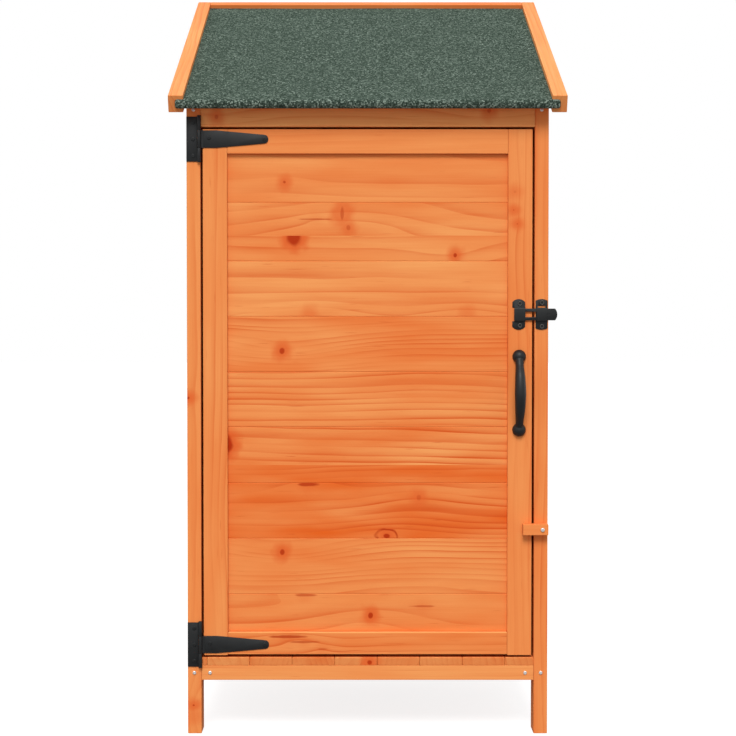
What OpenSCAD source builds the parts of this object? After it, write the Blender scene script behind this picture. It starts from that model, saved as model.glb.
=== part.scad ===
// Garden tool shed of stained fir: four corner posts that run down as legs, boarded walls,
// one framed door on tee hinges, and a pent roof of felt that falls to the front.
// X runs to the right, Y to the back and Z up, all in millimetres. The front looks to -Y.

/* [Body] */
// Width over the corner posts
body_w = 808; // [740:1:900]
// Depth over the corner posts
body_d = 646; // [560:1:760]
// Width of a corner post, seen from the front
post_w = 31; // [31:1:40]
// Depth of a corner post, seen from the side
post_d = 58; // [44:1:66]
// Height of the legs under the sills
leg_h = 121; // [80:1:160]
// Height of the front and rear sills
sill_h = 33; // [26:1:45]
// Thickness of the floor boards
floor_t = 18; // [14:1:24]
// Thickness of the wall boards
wall_t = 12; // [9:1:13]
// Step from the posts' outer faces back to the wall boards
wall_step = 8; // [4:1:10]
// Height of the front header, measured at its front face
header_h = 60; // [50:1:80]
// Height of the rear header, measured at its inner face
rear_header_h = 60; // [50:1:80]
// Height of the rails along the tops of the side walls
plate_h = 45; // [36:1:60]

/* [Door] */
// Height of the door
door_h = 1179; // [1120:1:1240]
// Thickness of the door's frame
door_t = 28; // [24:1:32]
// Gap all round the door
door_gap = 5; // [5:0.5:6]
// Width of the door's stiles
stile_w = 54.5; // [50:0.5:64]
// Height of the door's top rail
top_rail_h = 54.5; // [50:0.5:64]
// Height of the door's bottom rail
bottom_rail_h = 50; // [46:0.5:60]
// How much higher the bottom rail ends than the stiles
rail_lift = 2; // [1:0.5:3]
// Step from the door's face back to its boards
panel_step = 10; // [6:1:12]
// Thickness of the door's boards
panel_t = 10; // [8:1:12]

/* [Roof] */
// Pitch of the roof in degrees
pitch = 24; // [16:1:28]
// How far the side boards' top corners stand in front of the posts
front_over = 50; // [48:1:80]
// How far the side boards reach behind the rear posts
rear_over = 58; // [40:1:80]
// Thickness of the roof's side boards
barge_w = 33; // [26:1:40]
// Depth of the roof's side boards, square to the slope
barge_h = 39; // [36:1:46]
// Gap between the side boards and the posts
barge_gap = 3; // [2:0.5:6]
// How far the side boards stand above the felt
barge_proud = 9; // [5:1:10]
// Thickness of the roof's boards
deck_t = 12; // [9:1:14]
// Gap in which the roof's boards are nailed down on the timbers
deck_seat = 0.02; // [0.01:0.01:0.1]
// Thickness of the roofing felt
felt_t = 3; // [2:0.5:4]
// Thickness of the board across the back of the roof
back_board_t = 28; // [22:1:36]
// How far the felt's rolled front edge ends inside the roof's outer width
lip_inset = 15.5; // [10:0.5:20]
// Thickness of the felt's rolled front edge
lip_t = 8; // [6:0.5:10]
// Height of the felt's rolled front edge, square to the slope
lip_h = 20.5; // [20:0.5:26]

/* [Hinges] */
// Height of a hinge's barrel under the pin's head
barrel_h = 103; // [92:1:112]
// How far a hinge's plate ends inside its barrel's ends
hinge_plate_in = 1.5; // [0.5:0.1:3]
// Radius of a hinge's barrel
barrel_r = 4.25; // [4:0.05:4.5]
// Radius of a hinge's pin
pin_r = 2; // [1.6:0.1:2.4]
// Radial play of a hinge's pin
pin_play = 0.05; // [0.02:0.01:0.1]
// Thickness of the hinge's pin head
pin_head_t = 1.5; // [1:0.1:2.5]
// Thickness of the hinge plates and straps
hinge_t = 2.2; // [1.8:0.1:2.6]
// Gap between the barrels and the posts' faces
barrel_lift = 0.5; // [0.4:0.1:0.8]
// Gap between a hinge's knuckles
knuckle_gap = 0.5; // [0.3:0.1:0.8]
// How far the hinges' axis lies outside the left post's inner edge
barrel_in = 2.3; // [2:0.1:3]
// Height of a strap at its root
strap_h = 39; // [34:1:42]
// Height of a strap at its tip
strap_tip_h = 18; // [14:1:22]
// Length of a strap's straight root
strap_root = 38; // [30:1:44]
// Length of a strap from the hinge's axis
strap_len = 154; // [130:1:170]
// Distance from the door's top to the upper strap's middle
upper_strap_down = 22.5; // [22:0.5:26]
// Distance from the door's bottom to the lower strap's middle
lower_strap_up = 24.5; // [22:0.5:26]

/* [Bolt] */
// Height of the bolt's middle over the floor
bolt_up = 771; // [700:1:820]
// Height of the bolt's bar
bar_h = 26.3; // [22:0.1:28]
// Thickness of the bolt's bar
bar_t = 3; // [2.5:0.1:4]
// Length of the bolt's bar
bar_len = 93.5; // [91:0.5:100]
// Reach of the bar over the door's edge
bar_reach = 38; // [34:0.5:40]
// Height of the slot in the bar
bar_slot_h = 12; // [9:0.5:13]
// Length of the slot in the bar
bar_slot_len = 36; // [30:0.5:40]
// Distance from the bar's end to its slot
bar_slot_in = 14; // [12:0.5:16]
// Radius of the bar's rounded end
bar_end_r = 20; // [16:0.5:30]
// Play of the bar in its plates
bar_play = 0.4; // [0.2:0.1:0.6]
// Height of the bolt's plates
bolt_plate_h = 68.6; // [60:0.1:74]
// Width of the bolt's plate on the door
keeper_w = 28.6; // [24:0.1:30]
// Width of the bolt's plate on the post
guide_w = 26.6; // [22:0.1:28]
// Distance from the door's edge to its plate
keeper_in = 16; // [14:0.5:18]
// Distance from the post's inner edge to its plate
guide_in = 2.4; // [2:0.1:3]
// Thickness of the bolt's plates
bolt_plate_t = 1.8; // [1.4:0.1:2]
// Radius of the arched ends of the plate on the door
keeper_arch_r = 18; // [16:0.5:24]
// Radius of the arched ends of the plate on the post
guide_arch_r = 27; // [18:0.5:30]
// Depth of the notch beside the bridge of the plate on the door
keeper_notch = 4; // [3:0.1:5]
// Width of the slit over the bridge of the plate on the post
slit_w = 17; // [14:0.5:20]
// Height of the slit over the bridge of the plate on the post
slit_h = 3.5; // [2.5:0.1:4]

/* [Handle and button] */
// Distance from the door's edge to the handle's middle
handle_in = 29; // [24:0.5:34]
// Height of the handle's middle over the floor
handle_up = 595; // [560:1:620]
// Distance between the handle's ends
handle_span = 165; // [150:1:180]
// Radius of the handle's round ends
handle_end_r = 14.8; // [13:0.1:16]
// Radius of the handle's grip
grip_r = 10; // [8:0.1:10.4]
// Rise of the grip's bow over its ends
grip_rise = 30; // [27:0.5:32]
// Height of the handle's ends under the bow
grip_base = 5; // [4:0.5:6]
// Height of the turn button's middle over the floor
button_up = 290.6; // [250:0.1:330]
// Length of the turn button
button_len = 57; // [52:0.5:60]
// Height of the turn button
button_h = 24.6; // [20:0.1:25]
// Thickness of the turn button
button_t = 20; // [14:0.5:22]
// Distance from the turn button's end to its screw
button_end = 13.2; // [12.6:0.1:14]
// Distance from the post's inner edge to the turn button's screw
button_in = 17.5; // [17:0.5:18.5]
// Gap behind the turn button
button_gap = 1; // [0.6:0.1:1.5]
// Radius of the turn button's screw
screw_r = 2.5; // [2:0.1:3]
// Radius of the screw's head
screw_head_r = 4.6; // [4:0.1:5.5]
// Height of the screw's head
screw_head_t = 2.6; // [2:0.1:3]
// Play of the turn button's screw
screw_play = 0.08; // [0.02:0.01:0.1]

/* [Hidden] */
$fn = 64;
wood = [0.92, 0.55, 0.31];
wood_light = [0.94, 0.59, 0.34];
felt_green = [0.36, 0.41, 0.37];
iron = [0.19, 0.20, 0.21];
zinc = [0.72, 0.73, 0.74];

// how far a cutting shape reaches past what it cuts
past = 1;

// heights
sill_top = leg_h + sill_h;
floor_z = sill_top + floor_t;
door_z = floor_z + door_gap;
door_top = door_z + door_h;
header_z = door_top + door_gap;
deck_front_z = header_z + header_h;

// the roof in its own frame: U up the slope, V square to it, zero under the deck over the front posts
deck_v = barge_h - barge_proud - felt_t - deck_t;
u_front = (-front_over + (barge_h - deck_v) * sin(pitch)) / cos(pitch);
u_rear = (body_d + rear_over - deck_v * sin(pitch)) / cos(pitch);
u_back_board = u_rear - back_board_t;
lip_top_v = deck_t + felt_t;
lip_out = max(0, lip_t + (lip_top_v - lip_t - (barge_h - deck_v)) * sin(pitch));

// places across and along; the whole stands with its middle over the origin
half = body_w / 2;
inner = half - post_w;
y_shift = (front_over + lip_out - rear_over) / 2;
y_front = y_shift - body_d / 2;
y_rear = y_shift + body_d / 2;
wall_out = half - wall_step;
wall_in = wall_out - wall_t;
y_wall_out = y_rear - wall_step;
y_wall_in = y_wall_out - wall_t;
roof_in = half + barge_gap;
roof_out = roof_in + barge_w;
rear_header_z = deck_z(y_rear - post_d) - rear_header_h;

// the door
door_half = inner - door_gap;
boards_half = door_half - stile_w;
bottom_rail_z = door_z + rail_lift;
boards_z0 = bottom_rail_z + bottom_rail_h;
boards_z1 = door_top - top_rail_h;

// the hinges
hinge_x = -inner - barrel_in;
hinge_y = y_front - barrel_lift - barrel_r;
plate_x1 = hinge_x - barrel_r - knuckle_gap;
hinge_plate_h = barrel_h - 2 * hinge_plate_in;
upper_z = door_top - upper_strap_down;
lower_z = door_z + lower_strap_up;

// the bolt
bolt_z = floor_z + bolt_up;
bar_x0 = door_half - bar_reach;
bar_x1 = bar_x0 + bar_len;
bar_y1 = y_front - bolt_plate_t - bar_play;
bar_y0 = bar_y1 - bar_t;
bridge_y = bar_y0 - bar_play;
bridge_room = bar_h / 2 + bar_play;
keeper_x1 = door_half - keeper_in;
keeper_x0 = keeper_x1 - keeper_w;
guide_x0 = inner + guide_in;
guide_x1 = guide_x0 + guide_w;

// the handle and the button
handle_x = door_half - handle_in;
handle_z = floor_z + handle_up;
bow_r = (pow(handle_span / 2, 2) + pow(grip_rise, 2)) / (2 * grip_rise);
bow_a = asin(handle_span / 2 / bow_r);
button_z = floor_z + button_up;
button_x = inner + button_in;
button_y1 = y_front - button_gap;
button_y0 = button_y1 - button_t;

// height of the timbers' tops under the deck, at a place along the body
function deck_z(y) = deck_front_z - deck_seat + (y - y_front) * tan(pitch);

// a box between two corners
module block(a, b) {
    translate(a) cube(b - a);
}

// a profile in Y and Z, drawn out along X
module across(x0, x1, profile) {
    translate([x0, 0, 0]) rotate([90, 0, 90]) linear_extrude(x1 - x0) polygon(profile);
}

// a profile in X and Z, drawn out along Y
module along(y0, y1, profile) {
    translate([0, y1, 0]) rotate([90, 0, 0]) linear_extrude(y1 - y0) polygon(profile);
}

// what lies in the roof's frame
module on_slope() {
    translate([0, y_front, deck_front_z]) rotate([pitch, 0, 0]) children();
}

// a corner post from the ground to the deck
module post(x0, y0) {
    color(wood) across(x0, x0 + post_w, [
        [y0, 0], [y0 + post_d, 0], [y0 + post_d, deck_z(y0 + post_d)], [y0, deck_z(y0)]
    ]);
}

module front_left_post() {
    post(-half, y_front);
}

module front_right_post() {
    post(inner, y_front);
}

module rear_left_post() {
    post(-half, y_rear - post_d);
}

module rear_right_post() {
    post(inner, y_rear - post_d);
}

module front_sill() {
    color(wood) block([-inner, y_front, leg_h], [inner, y_front + post_d, sill_top]);
}

module rear_sill() {
    color(wood) block([-inner, y_rear - post_d, leg_h], [inner, y_rear, sill_top]);
}

// a sill under a side wall, as high as the floor
module side_sill(x0) {
    color(wood) block([x0, y_front + post_d, leg_h], [x0 + post_w, y_rear - post_d, floor_z]);
}

module left_sill() {
    side_sill(-half);
}

module right_sill() {
    side_sill(inner);
}

module floor_boards() {
    color(wood_light) block([-inner, y_front, sill_top], [inner, y_wall_in, floor_z]);
}

module front_header() {
    color(wood) across(-inner, inner, [
        [y_front, header_z], [y_front + post_d, header_z],
        [y_front + post_d, deck_z(y_front + post_d)], [y_front, deck_z(y_front)]
    ]);
}

module rear_header() {
    color(wood) across(-inner, inner, [
        [y_rear - post_d, rear_header_z], [y_rear, rear_header_z],
        [y_rear, deck_z(y_rear)], [y_rear - post_d, deck_z(y_rear - post_d)]
    ]);
}

// a rail along the top of a side wall, under the deck
module side_top_rail(x0) {
    y0 = y_front + post_d;
    y1 = y_rear - post_d;
    color(wood) across(x0, x0 + post_w, [
        [y0, deck_z(y0) - plate_h], [y1, deck_z(y1) - plate_h], [y1, deck_z(y1)], [y0, deck_z(y0)]
    ]);
}

module left_top_rail() {
    side_top_rail(-half);
}

module right_top_rail() {
    side_top_rail(inner);
}

// a side wall between its posts, sill and top rail
module side_wall(x0) {
    y0 = y_front + post_d;
    y1 = y_rear - post_d;
    color(wood_light) across(x0, x0 + wall_t, [
        [y0, floor_z], [y1, floor_z], [y1, deck_z(y1) - plate_h], [y0, deck_z(y0) - plate_h]
    ]);
}

module left_wall() {
    side_wall(-wall_out);
}

module right_wall() {
    side_wall(wall_in);
}

module rear_wall() {
    color(wood_light) block([-inner, y_wall_in, sill_top], [inner, y_wall_out, rear_header_z]);
}

module roof_deck() {
    color(wood_light) on_slope() block([-roof_in, u_front, 0], [roof_in, u_back_board, deck_t]);
}

// the felt on the deck, with its front edge rolled over the roof's front end
module roof_felt() {
    lip_half = roof_out - lip_inset;
    color(felt_green) on_slope() union() {
        block([-roof_in, u_front, deck_t], [roof_in, u_back_board, lip_top_v]);
        intersection() {
            hull() for (v = [lip_top_v - lip_t, lip_top_v - lip_h + lip_t]) {
                translate([-lip_half, u_front, v]) rotate([0, 90, 0]) cylinder(r = lip_t, h = 2 * lip_half);
            }
            block([-lip_half, u_front - lip_t, lip_top_v - lip_h], [lip_half, u_front, lip_top_v]);
        }
    }
}

// a board along one side of the roof
module roof_board(x0) {
    color(wood) on_slope() block([x0, u_front, -deck_v], [x0 + barge_w, u_rear, barge_h - deck_v]);
}

module left_roof_board() {
    roof_board(-roof_out);
}

module right_roof_board() {
    roof_board(roof_in);
}

module rear_roof_board() {
    color(wood) on_slope()
        block([-roof_in, u_back_board, -deck_v], [roof_in, u_rear, barge_h - deck_v]);
}

// an upright of the door's frame
module stile(x0) {
    color(wood) block([x0, y_front, door_z], [x0 + stile_w, y_front + door_t, door_top]);
}

module door_left_stile() {
    stile(-door_half);
}

module door_right_stile() {
    stile(door_half - stile_w);
}

module door_top_rail() {
    color(wood) block([-boards_half, y_front, boards_z1], [boards_half, y_front + door_t, door_top]);
}

module door_bottom_rail() {
    color(wood) block([-boards_half, y_front, bottom_rail_z], [boards_half, y_front + door_t, boards_z0]);
}

module door_boards() {
    color(wood_light) block(
        [-boards_half, y_front + panel_step, boards_z0],
        [boards_half, y_front + panel_step + panel_t, boards_z1]
    );
}

// a hinge's plate on the post, with the two knuckles that hold the pin
module hinge_plate(z) {
    free = strap_h / 2 + knuckle_gap;
    color(iron) difference() {
        union() {
            block(
                [-half, y_front - hinge_t, z - hinge_plate_h / 2],
                [plate_x1, y_front, z + hinge_plate_h / 2]
            );
            for (side = [-1, 1]) {
                z0 = side < 0 ? z - barrel_h / 2 : z + free;
                z1 = side < 0 ? z - free : z + barrel_h / 2;
                p0 = side < 0 ? z - hinge_plate_h / 2 : z + free;
                p1 = side < 0 ? z - free : z + hinge_plate_h / 2;
                translate([hinge_x, hinge_y, z0]) cylinder(r = barrel_r, h = z1 - z0);
                block([plate_x1, y_front - hinge_t, p0], [hinge_x, y_front, p1]);
            }
        }
        translate([hinge_x, hinge_y, z - barrel_h]) cylinder(r = pin_r + pin_play, h = 2 * barrel_h);
    }
}

// a hinge's pin, whose stem runs up through its head on the upper knuckle
module hinge_pin(z) {
    color(iron) union() {
        translate([hinge_x, hinge_y, z - barrel_h / 2]) cylinder(r = pin_r, h = barrel_h + pin_head_t);
        translate([hinge_x, hinge_y, z + barrel_h / 2]) cylinder(r = barrel_r, h = pin_head_t);
    }
}

// a hinge's tapered strap on the door, with its knuckle between the plate's two
module hinge_strap(z) {
    edge = -door_half;
    tip_r = strap_tip_h / 2;
    tip_x = hinge_x + strap_len - tip_r;
    color(iron) difference() {
        union() {
            translate([hinge_x, hinge_y, z - strap_h / 2]) cylinder(r = barrel_r, h = strap_h);
            block(
                [hinge_x, y_front - barrel_lift - hinge_t, z - strap_h / 2],
                [edge + hinge_t, y_front - barrel_lift, z + strap_h / 2]
            );
            along(y_front - hinge_t, y_front, [
                [edge, z - strap_h / 2], [hinge_x + strap_root, z - strap_h / 2], [tip_x, z - tip_r],
                [tip_x, z + tip_r], [hinge_x + strap_root, z + strap_h / 2], [edge, z + strap_h / 2]
            ]);
            translate([tip_x, y_front, z]) rotate([90, 0, 0]) cylinder(r = tip_r, h = hinge_t);
        }
        translate([hinge_x, hinge_y, z - strap_h]) cylinder(r = pin_r + pin_play, h = 2 * strap_h);
    }
}

module upper_hinge_plate() {
    hinge_plate(upper_z);
}

module upper_hinge_pin() {
    hinge_pin(upper_z);
}

module upper_hinge_strap() {
    hinge_strap(upper_z);
}

module lower_hinge_plate() {
    hinge_plate(lower_z);
}

module lower_hinge_pin() {
    hinge_pin(lower_z);
}

module lower_hinge_strap() {
    hinge_strap(lower_z);
}

// a flat plate with arched ends and a raised bridge that the bolt's bar runs through
module bolt_plate(x0, x1, arch_r, notch) {
    arch_z = bolt_plate_h / 2 - arch_r;
    color(iron) difference() {
        union() {
            intersection() {
                hull() for (side = [-1, 1]) {
                    translate([(x0 + x1) / 2, y_front, bolt_z + side * arch_z]) rotate([90, 0, 0])
                        cylinder(r = arch_r, h = bolt_plate_t);
                }
                block(
                    [x0, y_front - bolt_plate_t, bolt_z - bolt_plate_h / 2],
                    [x1, y_front, bolt_z + bolt_plate_h / 2]
                );
            }
            block(
                [x0 + notch, bridge_y - bolt_plate_t, bolt_z - bridge_room - bolt_plate_t],
                [x1, y_front, bolt_z + bridge_room + bolt_plate_t]
            );
        }
        block(
            [x0 - past, bridge_y, bolt_z - bridge_room],
            [x1 + past, y_front - bolt_plate_t, bolt_z + bridge_room]
        );
    }
}

// the plate on the post, slit over its bridge
module bolt_guide() {
    slit_x = (guide_x0 + guide_x1 - slit_w) / 2;
    slit_z = bolt_z + bridge_room + bolt_plate_t;
    difference() {
        bolt_plate(guide_x0, guide_x1, guide_arch_r, 0);
        color(iron) block(
            [slit_x, y_front - bolt_plate_t - past, slit_z],
            [slit_x + slit_w, y_front + past, slit_z + slit_h]
        );
    }
}

// the plate on the door, notched beside its bridge
module bolt_keeper() {
    difference() {
        bolt_plate(keeper_x0, keeper_x1, keeper_arch_r, keeper_notch);
        color(iron) block(
            [keeper_x0 - past, y_front - bolt_plate_t - past, bolt_z - bridge_room],
            [keeper_x0 + keeper_notch, y_front + past, bolt_z + bridge_room]
        );
    }
}

// the flat bar that slides through the guide, slotted, with a rounded end to push
module sliding_bolt() {
    slot_r = bar_slot_h / 2;
    slot_x0 = bar_x0 + bar_slot_in + slot_r;
    slot_x1 = bar_x0 + bar_slot_in + bar_slot_len - slot_r;
    color(iron) difference() {
        intersection() {
            block([bar_x0, bar_y0, bolt_z - bar_h / 2], [bar_x1, bar_y1, bolt_z + bar_h / 2]);
            hull() for (x = [bar_x0, bar_x1 - bar_end_r]) {
                translate([x, bar_y1, bolt_z]) rotate([90, 0, 0]) cylinder(r = bar_end_r, h = bar_t);
            }
        }
        block([slot_x0, bar_y0 - past, bolt_z - slot_r], [slot_x1, bar_y1 + past, bolt_z + slot_r]);
        for (x = [slot_x0, slot_x1]) {
            translate([x, bar_y1 + past, bolt_z]) rotate([90, 0, 0])
                cylinder(r = slot_r, h = bar_t + 2 * past);
        }
    }
}

// a bow between two round ends on the door's right stile
module pull_handle() {
    far = handle_span + 4 * handle_end_r;
    color(iron) difference() {
        union() {
            translate([handle_x, y_front - grip_base - grip_rise + bow_r, handle_z])
                rotate([90, 0, 90]) rotate([0, 0, 180 - bow_a])
                rotate_extrude(angle = 2 * bow_a) translate([bow_r, 0]) circle(r = grip_r);
            for (side = [-1, 1]) {
                translate([handle_x, y_front, handle_z + side * handle_span / 2]) sphere(r = handle_end_r);
            }
        }
        block(
            [handle_x - far, y_front, handle_z - far],
            [handle_x + far, y_front + far, handle_z + far]
        );
    }
}

// a block of wood on the right post that turns over the door's edge
module turn_button() {
    x1 = button_x + button_end;
    color(wood) difference() {
        block(
            [x1 - button_len, button_y0, button_z - button_h / 2],
            [x1, button_y1, button_z + button_h / 2]
        );
        translate([button_x, button_y1 + past, button_z]) rotate([90, 0, 0])
            cylinder(r = screw_r + screw_play, h = button_t + 2 * past);
    }
}

// the turn button's screw, whose stem runs out through its head
module turn_button_screw() {
    head_y = button_y0 - button_gap / 2;
    color(zinc) union() {
        translate([button_x, y_front, button_z]) rotate([90, 0, 0])
            cylinder(r = screw_r, h = y_front - head_y + screw_head_t);
        translate([button_x, head_y, button_z]) rotate([90, 0, 0])
            cylinder(r = screw_head_r, h = screw_head_t);
    }
}

front_left_post();
front_right_post();
rear_left_post();
rear_right_post();
front_sill();
rear_sill();
left_sill();
right_sill();
floor_boards();
front_header();
rear_header();
left_top_rail();
right_top_rail();
left_wall();
right_wall();
rear_wall();
roof_deck();
roof_felt();
left_roof_board();
right_roof_board();
rear_roof_board();
door_left_stile();
door_right_stile();
door_top_rail();
door_bottom_rail();
door_boards();
upper_hinge_plate();
upper_hinge_pin();
upper_hinge_strap();
lower_hinge_plate();
lower_hinge_pin();
lower_hinge_strap();
bolt_guide();
bolt_keeper();
sliding_bolt();
pull_handle();
turn_button();
turn_button_screw();
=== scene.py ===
# %% [markdown]
# # A tool shed of stained fir
# The shed stands on its four corner posts: boarded walls, one framed door, a pent roof of green
# mineral felt, and black ironwork. The imported CAD model gives every place and size. This lesson
# rebuilds each solid as the timber, board or fitting that it is, and gives it its finish.

# %% Importing the model
import math
import random

import bpy
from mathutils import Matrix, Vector


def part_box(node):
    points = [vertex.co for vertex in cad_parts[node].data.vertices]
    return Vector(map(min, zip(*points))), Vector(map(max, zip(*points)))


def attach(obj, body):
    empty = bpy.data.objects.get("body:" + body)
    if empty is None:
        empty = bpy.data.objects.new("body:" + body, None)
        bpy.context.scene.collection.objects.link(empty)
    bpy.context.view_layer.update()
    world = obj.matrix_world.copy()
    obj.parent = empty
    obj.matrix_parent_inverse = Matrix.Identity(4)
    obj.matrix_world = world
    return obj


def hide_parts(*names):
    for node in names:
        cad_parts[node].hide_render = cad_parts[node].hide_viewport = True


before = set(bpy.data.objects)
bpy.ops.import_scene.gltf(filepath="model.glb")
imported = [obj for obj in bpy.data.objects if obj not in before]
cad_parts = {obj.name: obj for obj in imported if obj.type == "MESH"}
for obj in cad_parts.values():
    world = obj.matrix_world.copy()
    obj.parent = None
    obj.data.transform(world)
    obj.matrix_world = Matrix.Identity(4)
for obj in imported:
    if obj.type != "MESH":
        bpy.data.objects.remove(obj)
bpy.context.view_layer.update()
MM = 0.001
# a direction counts as along an axis when its cosine is over STRAIGHT, and an edge as at an end when
# it is nearer than AT_END; HAIR is a hair's breadth, by which parts just clear or just enter others
STRAIGHT, AT_END, HAIR = 0.9, 1 * MM, 0.1 * MM

# %% [markdown]
# ## Camera
# The picture was taken from about the height of the door handle, straight at the door. Upright
# posts stay almost upright, so the camera tilts only a little, and a small shift does the rest.

# %% Camera
CAMERA_AT, CAMERA_TILT = (-0.0213, -4.1520, 0.9918), 1.6
camera_data = bpy.data.cameras.new("camera")
camera = bpy.data.objects.new("camera", camera_data)
bpy.context.collection.objects.link(camera)
camera.location = CAMERA_AT
camera.rotation_euler = (math.radians(90 - CAMERA_TILT), 0, 0)
camera_data.sensor_width = 36
camera_data.lens = 83.72
camera_data.shift_x = 0.0135
camera_data.shift_y = -0.0375
bpy.context.scene.camera = camera
print("camera", CAMERA_AT, "lens", camera_data.lens)

# %% [markdown]
# ## Light
# Product pictures of sheds have soft light from above and in front: the roof's overhang shades
# the header, and the step round the door's boards shades their upper edge. A soft sun at 45
# degrees draws just those shadows. A pale sky and weak suns from the sides and the back fill the
# rest, so that a white card on the door would come out white, and the other sides a little less.

# %% Sky and suns
bpy.context.scene.view_settings.view_transform = "Standard"


def add(tree, kind, inputs=(), operation=None, out=0, **settings):
    """Adds a node and gives back one of its outputs, or the whole node where out is None.

    The operation and the settings are its options, and inputs are linked from a socket or set.
    """
    made = tree.nodes.new(kind)
    if operation:
        made.operation = operation
    for key, value in settings.items():
        setattr(made, key, value)
    for key, value in dict(inputs).items():
        if isinstance(value, bpy.types.NodeSocket):
            tree.links.new(value, made.inputs[key])
        else:
            made.inputs[key].default_value = value
    return made if out is None else made.outputs[out]


def empty_tree(owner):
    """Lets a material or a world use nodes and gives back its node tree, emptied."""
    owner.use_nodes = True
    owner.node_tree.nodes.clear()
    return owner.node_tree


def hex_color(code):
    """Turns an sRGB hex colour into linear red, green, blue and alpha."""
    parts = [int(code[i : i + 2], 16) / 255 for i in (1, 3, 5)]
    return [p / 12.92 if p <= 0.04045 else ((p + 0.055) / 1.055) ** 2.4 for p in parts] + [1]


def sun(name, level, side, height, softness):
    """A sun that gives a white card facing it this level, from so many degrees right and up."""
    data = bpy.data.lights.new(name, "SUN")
    data.energy = level * math.pi
    data.angle = math.radians(softness)
    lamp = bpy.data.objects.new(name, data)
    bpy.context.collection.objects.link(lamp)
    lamp.rotation_euler = (math.radians(90 - height), 0, math.radians(side))


SKY_LEVEL = 0.62
MATH, VECTOR, MIX = "ShaderNodeMath", "ShaderNodeVectorMath", "ShaderNodeMix"
sky = bpy.data.worlds.new("studio")
bpy.context.scene.world = sky
t = empty_tree(sky)
path = add(t, "ShaderNodeLightPath", out=None).outputs
# the camera and the gloss see pure white, and only the light is dimmed
seen = add(t, MATH, {0: path["Is Camera Ray"], 1: path["Is Glossy Ray"]}, "MAXIMUM")
soft, white = (
    add(t, "ShaderNodeBackground", {"Color": hex_color("#FFFFFF"), "Strength": level})
    for level in (SKY_LEVEL, 1.0)
)
both = add(t, "ShaderNodeMixShader", {0: seen, 1: soft, 2: white})
add(t, "ShaderNodeOutputWorld", {"Surface": both}, out=None)

sun("key_sun", 0.75, side=-4, height=45, softness=26)
sun("left_fill", 0.19, side=-115, height=8, softness=40)
sun("right_fill", 0.19, side=115, height=8, softness=40)
sun("back_fill", 0.24, side=180, height=8, softness=60)
print("sky level", SKY_LEVEL, "with a key sun and three fills")

# %% [markdown]
# ## Working by hand in code
# Each piece starts as a primitive at its size and place and is then cut, extruded and bevelled in
# edit mode. An operator acts on everything that is selected, so the helpers below first clear the
# selection and then select by place or direction, the way a hand would click.

# %% Selecting and adding


def only(*pieces):
    """Leaves edit mode and selects just these pieces, with the last one active."""
    if bpy.context.mode != "OBJECT":
        bpy.ops.object.mode_set(mode="OBJECT")
    bpy.ops.object.select_all(action="DESELECT")
    for piece in pieces:
        piece.select_set(True)
        bpy.context.view_layer.objects.active = piece


def settle(piece):
    """Puts a piece's place, turn and scale into its mesh."""
    only(piece)
    bpy.ops.object.transform_apply(location=True, rotation=True, scale=True)


def block(name, low, high):
    """A cube primitive stretched between two corners."""
    only()
    bpy.ops.mesh.primitive_cube_add(size=1, location=[(a + b) / 2 for a, b in zip(low, high)])
    piece = bpy.context.object
    piece.name = name
    piece.scale = [b - a for a, b in zip(low, high)]
    settle(piece)
    return piece


def rod(name, middle, radius, length, axis, sides=24):
    """A cylinder primitive along X (0), Y (1) or Z (2)."""
    only()
    turn = ((0, math.pi / 2, 0), (math.pi / 2, 0, 0), (0, 0, 0))[axis]
    bpy.ops.mesh.primitive_cylinder_add(
        vertices=sides, radius=radius, depth=length, location=middle, rotation=turn
    )
    piece = bpy.context.object
    piece.name = name
    settle(piece)
    return piece


def pick(piece, kind, test):
    """Goes into edit mode with the faces, edges or points selected that pass a test.

    The test gets a face's middle and normal, an edge's middle and direction, or a point's place.
    """
    only(piece)
    bpy.ops.object.mode_set(mode="EDIT")
    bpy.ops.mesh.select_mode(type=kind)
    bpy.ops.mesh.select_all(action="DESELECT")
    bpy.ops.object.mode_set(mode="OBJECT")
    mesh = piece.data
    if kind == "FACE":
        for face in mesh.polygons:
            face.select = test(face.center, face.normal)
    elif kind == "EDGE":
        for edge in mesh.edges:
            a, b = (mesh.vertices[i].co for i in edge.vertices)
            edge.select = test((a + b) / 2, (b - a).normalized())
    else:
        for point in mesh.vertices:
            point.select = test(point.co)
    bpy.ops.object.mode_set(mode="EDIT")


print("helpers for selecting and adding are ready")

# %% [markdown]
# A saw cut, an eased edge and a drilled hole are the joiner's own steps, and each is one operator or
# one modifier here. Smooth shading alone would bend the light across a flat face next to its eased
# edges, so a planed timber also gets normals that follow its large faces.

# %% Cutting, easing and shading


def saw(piece, place, normal):
    """Cuts a piece through a plane and drops what lies on the normal's side."""
    pick(piece, "FACE", lambda middle, way: True)
    bpy.ops.mesh.bisect(plane_co=place, plane_no=normal, use_fill=True, clear_outer=True)
    only(piece)


def soften(piece, width, test=lambda middle, way: True, segments=2):
    """Takes the sharpness off the edges that pass a test."""
    pick(piece, "EDGE", test)
    bpy.ops.mesh.bevel(offset=width, segments=segments, affect="EDGES")
    only(piece)


def smooth(piece, angle=40):
    """Shades a piece smooth where its faces meet at less than an angle in degrees."""
    only(piece)
    bpy.ops.object.shade_smooth_by_angle(angle=math.radians(angle))


def modify(piece, kind, **settings):
    """Adds a modifier and applies it."""
    only(piece)
    added = piece.modifiers.new(kind.lower(), kind)
    for key, value in settings.items():
        setattr(added, key, value)
    bpy.ops.object.modifier_apply(modifier=added.name)


def planed(piece):
    """Shades a timber smooth round its eased edges and quite level on its long faces."""
    smooth(piece)
    modify(piece, "WEIGHTED_NORMAL", keep_sharp=True)


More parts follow.
